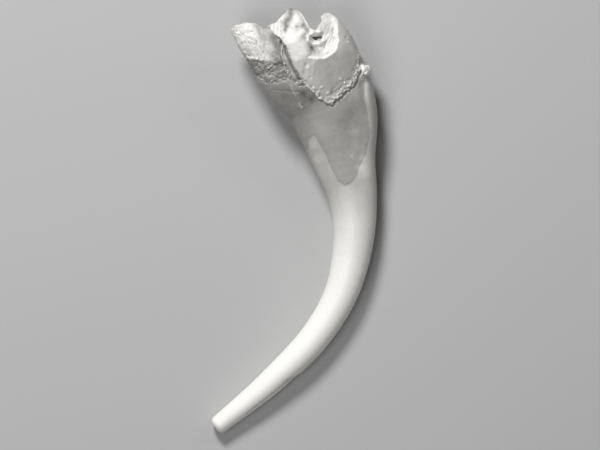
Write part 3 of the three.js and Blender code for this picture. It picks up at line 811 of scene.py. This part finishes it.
def outsidePoint(along, angle):
    # a point of the fang's outside, with its whiteness and porosity
    section = sectionAt(along)
    turned = math.atan2(math.sin(angle), math.cos(angle)) * section["halfWidth"]
    slanted = along + slit["stepSlant"] * turned
    inSlit = smooth(along, slit["start"], slit["full"])
    inSlit *= 1 - smooth(slanted, slit["end"] - slit["stepLength"], slit["end"])
    widening = smooth(along, slit["widenFrom"], slit["end"])
    width = mix(slit["halfWidth"], slit["endHalfWidth"], widening)
    cut = mix(slit["depth"], slit["endDepth"], widening) * inSlit * bump(turned - slit["nearSide"], width)
    point = sectionPoint(section, angle, section["halfWidth"] - cut, section["halfHeight"])
    if along < plan["shaftEnd"]:
        # darker towards the root, partly painted shade, and painted shade in the slit
        return point, between(root["whiteness"], along) - slit["paintedShade"] * cut, 0
    across, up = (point - rootPlace).dot(acrossWay), (point - rootPlace).dot(upWay)
    facing = math.sin(angle)
    shade = solidRough(point, 0.9, 0.3)
    nearShare = smooth(facing + 0.2 * shade, *sides["facings"])
    white = porous = 0
    if nearShare > 0:
        height, nearWhite, nearPorous = nearSurface(across, up, along)
        point.z += height * smooth(facing, 0, 0.35)
        white, porous = nearWhite * nearShare, nearPorous * nearShare
    if nearShare < 1:
        height, farWhite, farPorous = farSurface(across, up, along)
        point.z -= height * smooth(-facing, 0, 0.5)
        white += farWhite * (1 - nearShare)
        porous += farPorous * (1 - nearShare)
    cos = math.cos(angle)
    onBone = smooth(up, *sides["leftBone"]) if cos < 0 else 0.5 * smooth(up, *sides["rightBone"])
    onBone *= cos ** 4
    white += sides["toneRoughness"] * onBone * shade
    lumps = sides["lumpHeight"] * onBone * solidRough(point, sides["lumpSize"], 0.4 * sides["lumpSize"])
    point += section["outward"] * math.copysign(lumps, cos)
    if cos > 0:
        low, middle, high, top = knob["stretch"]
        atKnob = smooth(up, low, middle) * (1 - smooth(up, high, top))
        atKnob *= smooth(facing + 0.25 * shade, *knob["sideFacing"])
        push = knob["sideways"] * atKnob * (1 + 0.7 * solidRough(point, 0.4, 0.2))
    else:
        push = -lump["sideways"] * smooth(up, 6.3, 7.6)
        push -= sides["lumpHeight"] * rough(up, facing, 0.4, 73) * smooth(up, 3.4, 4)
    point += section["outward"] * push * abs(cos) ** 6
    return point, white, porous


rim = {
    # the broken upper edge on the two sides: (across, up)
    "near": [(-4.6, 9.4), (-4.4, 9.68), (-4.03, 9.73), (-2.86, 9.41), (-2.42, 9.15), (-2.08, 8.66),
             (-1.95, 8.22), (-1.7, 8.2), (-1.45, 8.36), (-0.71, 8.31), (0.22, 8.61), (0.76, 8.88),
             (1.13, 8.9), (1.49, 8.57), (1.8, 8.35), (1.92, 7.85), (1.96, 6.95), (2.0, 6.2), (2.18, 6.2),
             (2.33, 5.94), (2.54, 6.04), (2.7, 6.26), (3.24, 6.45), (3.36, 6.9), (3.81, 7.06),
             (4.22, 6.85), (4.59, 6.11), (4.8, 5.47), (4.97, 4.76), (5.09, 4.0)],
    "far": [(-4.6, 9.4), (-4.3, 8.1), (-3.4, 6.1), (-2.3, 5.1), (-1.2, 5.4), (0, 4.8), (1.2, 6.1),
            (1.8, 6.1), (2.4, 5.75), (3.3, 5.2), (4.1, 3.9), (4.6, 3.4), (5.09, 4.0)],
    "raggedness": 0.09,
    "bevel": 0.2,
    "whiteness": 0.7,
    "wideFrom": (0.6, 1.2),    # from this width on it shows the spongy inside of the bone
    "lumps": (0.12, 0.3),      # on the narrow and on the wide edge
    "poreDepth": (0.1, 0.28),
    "poreShade": (0.1, 0.45),
    "poreSize": 0.5,
}

cavity = {
    "apex": -5.6,
    "halfWidth": 3.35,
    "halfHeight": 1.85,
    "taper": 6.5,
    "thinnestWall": 0.5,
    "sideRoundness": 1.3,
    # painted shade: the cavity's wall darkens further down, where the shade falls
    "whiteness": (0.4, -0.1),      # at its edge and further down
    "paintedShadeFrom": (0.02, 0.25),
}


def outerSideways(angle):
    # how far the root's outside is from its middle
    cos = math.cos(angle)
    return math.copysign(abs(cos) ** (2 / plan["squareness"]), cos) * plan["blockHalfWidth"]


def innerSideways(sideways):
    # the cavity keeps right under its roof and stays clear of the side walls
    limit = cavity["halfWidth"]
    return sideways / (1 + (abs(sideways) / limit) ** 6) ** (1 / 6)


def rimAlong(angle, sideways):
    # how far along the broken edge is, at a distance from the middle
    across = plan["middleAcross"] + sideways
    uneven = rough(across, math.sin(angle), 0.35, 21) + 0.5 * rough(across, math.sin(angle), 0.15, 22)
    edge = between(rim["near"] if math.sin(angle) >= 0 else rim["far"], across)
    return rootAlong + edge + rim["raggedness"] * uneven


def cavityTop(angle):
    # where the cavity's wall starts, just inside the broken edge
    outer = outerSideways(angle)
    underRoof = smooth(abs(math.sin(angle)), 0.35, 0.8)
    return mix(rimAlong(angle, outer), rimAlong(angle, innerSideways(outer)), underRoof) - rim["bevel"]


def cavityPoint(along, angle):
    # a point of the cavity's wall, which keeps clear of the relief on the near side
    inner = innerSideways(outerSideways(angle))
    sin = math.sin(angle)
    section = sectionAt(along)
    depth = min(1, max(0, 1 - (along - rootAlong - cavity["apex"]) / cavity["taper"]))
    narrowing = math.sqrt(max(0, 1 - depth ** 2))
    squareness = plan["squareness"]
    roundness = (1 - abs(inner / cavity["halfWidth"]) ** squareness) ** (1 / squareness)
    roundness = min(roundness, cavity["sideRoundness"] * abs(sin) ** (2 / squareness))
    point = section["middle"] + section["outward"] * inner * narrowing
    point.z = section["height"] + math.copysign(roundness, sin) * cavity["halfHeight"] * narrowing
    across, up = (point - rootPlace).dot(acrossWay), (point - rootPlace).dot(upWay)
    if narrowing > 0:
        wallHeight = nearSurface(across, up, along)[0]
        point.z = min(point.z, plainHeight(section, across) + wallHeight - cavity["thinnestWall"])
    return point


def edgePoint(share, angle):
    # over the broken edge, from the outside to the cavity
    outside = outsidePoint(rimAlong(angle, outerSideways(angle)), angle)[0]
    inside = cavityPoint(cavityTop(angle), angle)
    point = outside.lerp(inside, share)
    pore = pores(point.x, point.z + 0.5 * point.y, rim["poreSize"], 51)
    wide = smooth((outside - inside).length, *rim["wideFrom"])
    uneven = mix(*rim["lumps"], wide) * solidRough(point, 0.6, 0.25) - mix(*rim["poreDepth"], wide) * pore
    point += upWay * (uneven - 0.06) * math.sin(share * math.pi)
    white = rim["whiteness"] + wide * (0.35 * solidRough(point, 0.4, 0.18) - 0.1)
    return point, white - mix(*rim["poreShade"], wide) * pore, 0.9


rings = {
    # rings stand at the same heights all round and stop at the broken edge: (up from, up to, how far apart)
    "tip": 8,
    "outside": [(-35.4, -28.4, 0.4), (-28.4, -26.2, 0.09), (-26.2, -9, 0.5), (-9, -1, 0.12),
                (-1, 9.9, 0.063)],
    "edge": 10,
    "inside": [(9.9, 4.4, 0.066), (4.4, -5.6, 0.4)],
    "farColumns": 70,
    "nearColumns": 200,
    "leastGap": 0.02,          # a ring that is closer to the broken edge joins it
    "mergeDistance": 0.0005,
}


def ringHeights(stretches):
    heights = []
    for start, end, gap in stretches:
        steps = round(abs(end - start) / gap)
        heights += [mix(start, end, (i + 1) / steps) for i in range(steps)]
    return heights


outsideHeights = ringHeights(rings["outside"])
insideHeights = ringHeights(rings["inside"])


def stationPoint(ring, angle):
    # from the tip up the outside, over the broken edge and down into the cavity
    if ring <= rings["tip"]:
        return outsidePoint(plan["tipLength"] * (1 - math.cos(ring / rings["tip"] * math.pi / 2)), angle)
    ring -= rings["tip"] + 1
    top = rimAlong(angle, outerSideways(angle))
    if ring < len(outsideHeights):
        along = rootAlong + outsideHeights[ring]
        return outsidePoint(top if along > top - rings["leastGap"] else along, angle)
    ring -= len(outsideHeights)
    if ring < rings["edge"]:
        return edgePoint((ring + 1) / (rings["edge"] + 1), angle)
    ring -= rings["edge"]
    top = cavityTop(angle)
    along = top if ring == 0 else min(top, rootAlong + insideHeights[ring - 1])
    # painted shade, darker further into the cavity
    white = mix(*cavity["whiteness"], smooth(top - along, *cavity["paintedShadeFrom"]))
    return cavityPoint(along, angle), white, 0.4


def columnAngle(column):
    if column <= rings["farColumns"]:
        return -math.pi * column / rings["farColumns"]
    return math.pi - math.pi * (column - rings["farColumns"]) / rings["nearColumns"]


def holeCutter():
    # an upright bar with the hole's outline, from the cavity up through the near wall
    mesh = bmesh.new()
    bmesh.ops.create_circle(mesh, cap_ends=True, segments=len(hole["outline"]), radius=1)
    for vert, corner in zip(mesh.verts, hole["outline"]):
        vert.co = rootPlace + acrossWay * corner.x + upWay * corner.y
        vert.co.z = hole["bottom"]
    bar = bmesh.ops.extrude_face_region(mesh, geom=mesh.faces[:])["geom"]
    top = [part for part in bar if isinstance(part, bmesh.types.BMVert)]
    bmesh.ops.translate(mesh, verts=top, vec=(0, 0, hole["barLength"]))
    bmesh.ops.recalc_face_normals(mesh, faces=mesh.faces)
    data = bpy.data.meshes.new("hole")
    mesh.to_mesh(data)
    mesh.free()
    return bpy.data.objects.new("hole", data)


def openHole(piece):
    # the small hole through the thin wall beside the flake's hollow
    cutter = holeCutter()
    bpy.context.collection.objects.link(cutter)
    cut = piece.modifiers.new("hole", "BOOLEAN")
    cut.operation = "DIFFERENCE"
    cut.solver = "EXACT"
    cut.object = cutter
    whole = piece.data
    piece.data = bpy.data.meshes.new_from_object(piece.evaluated_get(bpy.context.evaluated_depsgraph_get()))
    piece.modifiers.clear()
    print("hole cut:", len(whole.polygons), "faces before,", len(piece.data.polygons), "after")
    bpy.data.meshes.remove(whole)
    bpy.data.objects.remove(cutter)
    piece.data.name = "fang_surface"


def makeFang():
    # a grid of rings and columns is wrapped round the fang, closed, cut and moved to the frame's place
    rows = rings["tip"] + len(outsideHeights) + rings["edge"] + len(insideHeights) + 1
    columns = rings["farColumns"] + rings["nearColumns"]
    mesh = bmesh.new()
    # the whiteness carries the tooth's and the bone's tone together with painted light and painted shade
    white = mesh.verts.layers.float.new("whiteness")
    porous = mesh.verts.layers.float.new("porosity")
    bmesh.ops.create_grid(mesh, x_segments=columns, y_segments=rows, size=1)
    for vert in mesh.verts:
        column = round((vert.co.x + 1) / 2 * columns)
        ring = round((vert.co.y + 1) / 2 * rows)
        vert.co, vert[white], vert[porous] = stationPoint(ring, columnAngle(column))
    bmesh.ops.remove_doubles(mesh, verts=mesh.verts, dist=rings["mergeDistance"])
    bmesh.ops.recalc_face_normals(mesh, faces=mesh.faces)
    low = Vector([min(v.co[i] for v in mesh.verts) for i in range(3)])
    high = Vector([max(v.co[i] for v in mesh.verts) for i in range(3)])
    boxMiddle = (Vector(fangBox[0]) + Vector(fangBox[1])) / 2 / mm
    shift = boxMiddle - (low + high) / 2
    shift.z = fangBox[0][2] / mm - low.z
    print("fang's size in mm:", [round(side, 2) for side in high - low])
    data = bpy.data.meshes.new("fang_surface")
    mesh.to_mesh(data)
    mesh.free()
    piece = bpy.data.objects.new("fang_surface", data)
    bpy.context.collection.objects.link(piece)
    openHole(piece)
    piece.data.transform(Matrix.Scale(mm, 4) @ Matrix.Translation(shift))
    for polygon in piece.data.polygons:
        polygon.use_smooth = True
    return piece


# materials

def colour(hexValue):
    channels = [int(hexValue[i:i + 2], 16) / 255 for i in (1, 3, 5)]
    return (*[c / 12.92 if c <= 0.04045 else ((c + 0.055) / 1.055) ** 2.4 for c in channels], 1)


def addNode(tree, kind, settings=None, links=None):
    # settings are sockets, by name or number, or the node's own options
    node = tree.nodes.new(kind)
    for name, value in (settings or {}).items():
        if isinstance(name, int) or name in node.inputs:
            node.inputs[name].default_value = value
        else:
            setattr(node, name, value)
    for name, socket in (links or {}).items():
        tree.links.new(socket, node.inputs[name])
    return node


def plainMaterial(name, shade, roughness):
    material = bpy.data.materials.new(name)
    material.use_nodes = True
    shader = material.node_tree.nodes["Principled BSDF"]
    shader.inputs["Base Color"].default_value = colour(shade)
    shader.inputs["Roughness"].default_value = roughness
    return material


finish = {
    "darkest": "#4a4845",
    "lightest": "#f7f5f1",
    "grainSize": 0.35,         # in mm, with how much it changes the whiteness
    "grainTone": 0.12,
    "cloudSize": 2.5,
    "cloudTone": 0.06,
    "ior": 1.54,
    # on the tooth and on the broken bone
    "roughness": (0.46, 0.75),
    "pitStrength": (0.04, 0.7),
    "pitSize": 0.16,
    "pitDepth": 0.06,
}


def fangMaterial():
    # dentine and bone, grown and then dried and broken: the tooth is smooth and even with a soft shine, the
    # broken bone is dull and grainy
    material = bpy.data.materials.new("dentine and bone")
    material.use_nodes = True
    tree = material.node_tree
    shader = tree.nodes["Principled BSDF"]
    place = addNode(tree, "ShaderNodeTexCoord").outputs["Object"]
    # the whiteness carries the tone together with painted light and painted shade
    white = addNode(tree, "ShaderNodeAttribute", {"attribute_name": "whiteness"}).outputs["Fac"]
    porous = addNode(tree, "ShaderNodeAttribute", {"attribute_name": "porosity"}).outputs["Fac"]
    total = white
    for pattern, detail in (("grain", 4), ("cloud", 3)):
        scale, tone = 1 / (finish[pattern + "Size"] * mm), finish[pattern + "Tone"]
        uneven = addNode(tree, "ShaderNodeTexNoise", {"Scale": scale, "Detail": detail}, {"Vector": place})
        change = addNode(tree, "ShaderNodeMath", {"operation": "MULTIPLY_ADD", 1: tone, 2: -tone / 2},
                         {0: uneven.outputs["Fac"]})
        both = addNode(tree, "ShaderNodeMath", {"operation": "ADD"}, {0: total, 1: change.outputs[0]})
        total = both.outputs[0]
    shades = addNode(tree, "ShaderNodeValToRGB", {}, {"Fac": total})
    shades.color_ramp.elements[0].color = colour(finish["darkest"])
    shades.color_ramp.elements[1].color = colour(finish["lightest"])
    tree.links.new(shades.outputs["Color"], shader.inputs["Base Color"])
    least, most = finish["roughness"]
    dullness = addNode(tree, "ShaderNodeMapRange", {"To Min": least, "To Max": most}, {"Value": porous})
    tree.links.new(dullness.outputs["Result"], shader.inputs["Roughness"])
    shader.inputs["IOR"].default_value = finish["ior"]
    scale = 1 / (finish["pitSize"] * mm)
    pitted = addNode(tree, "ShaderNodeTexNoise", {"Scale": scale, "Detail": 6}, {"Vector": place})
    least, most = finish["pitStrength"]
    strength = addNode(tree, "ShaderNodeMapRange", {"To Min": least, "To Max": most}, {"Value": porous})
    relief = addNode(tree, "ShaderNodeBump", {"Distance": finish["pitDepth"] * mm},
                     {"Height": pitted.outputs["Fac"], "Strength": strength.outputs["Result"]})
    tree.links.new(relief.outputs["Normal"], shader.inputs["Normal"])
    return material


fang = makeFang()
fang.data.materials.append(fangMaterial())
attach(fang, "root")
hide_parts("fang")
print("fang made:", len(fang.data.polygons), "faces")

# floor, lights and camera

studio = {
    "floor": "#b4b4b4",
    "floorSize": 1.2,
    "lens": 600,
    "sensor": 36,
    "viewWidth": 55.68,      # the width that the picture shows, in mm, at the fang's middle height
    "viewCentre": (0.52, -0.37),
    "middleHeight": 3.5,
    "air": 0.05,             # even light from all round
}

floorMesh = bmesh.new()
bmesh.ops.create_grid(floorMesh, x_segments=1, y_segments=1, size=studio["floorSize"] / 2)
floorData = bpy.data.meshes.new("floor")
floorMesh.to_mesh(floorData)
floorMesh.free()
floor = bpy.data.objects.new("floor", floorData)
bpy.context.collection.objects.link(floor)
floor.data.materials.append(plainMaterial("matt paper", studio["floor"], 0.9))

camera = bpy.data.objects.new("camera", bpy.data.cameras.new("camera"))
camera.data.lens = studio["lens"]
camera.data.sensor_width = studio["sensor"]
camera.data.clip_start = 0.001
distance = studio["viewWidth"] * studio["lens"] / studio["sensor"]
camera.location = (studio["viewCentre"][0] * mm, studio["viewCentre"][1] * mm,
                   (studio["middleHeight"] + distance) * mm)
bpy.context.collection.objects.link(camera)
bpy.context.scene.camera = camera

lights = {
    # name: place in mm, point looked at in mm, size in mm, strength in watts
    "key": ((-60, 170, 190), (0, 0, 3), 70, 0.6),
    "fill": ((-60, -50, 200), (0, 0, 3), 120, 0.15),
    "side": ((130, 110, 120), (0, 0, 3), 70, 0.03),
}
for name, (place, target, size, strength) in lights.items():
    light = bpy.data.objects.new(name, bpy.data.lights.new(name, "AREA"))
    light.data.shape = "DISK"
    light.data.size = size * mm
    light.data.energy = strength
    light.location = Vector(place) * mm
    light.rotation_euler = (Vector(target) - Vector(place)).to_track_quat("-Z", "Y").to_euler()
    bpy.context.collection.objects.link(light)

world = bpy.data.worlds.new("studio air")
world.use_nodes = True
world.node_tree.nodes["Background"].inputs["Color"].default_value = (1, 1, 1, 1)
world.node_tree.nodes["Background"].inputs["Strength"].default_value = studio["air"]
bpy.context.scene.world = world
bpy.context.scene.view_settings.view_transform = "Standard"
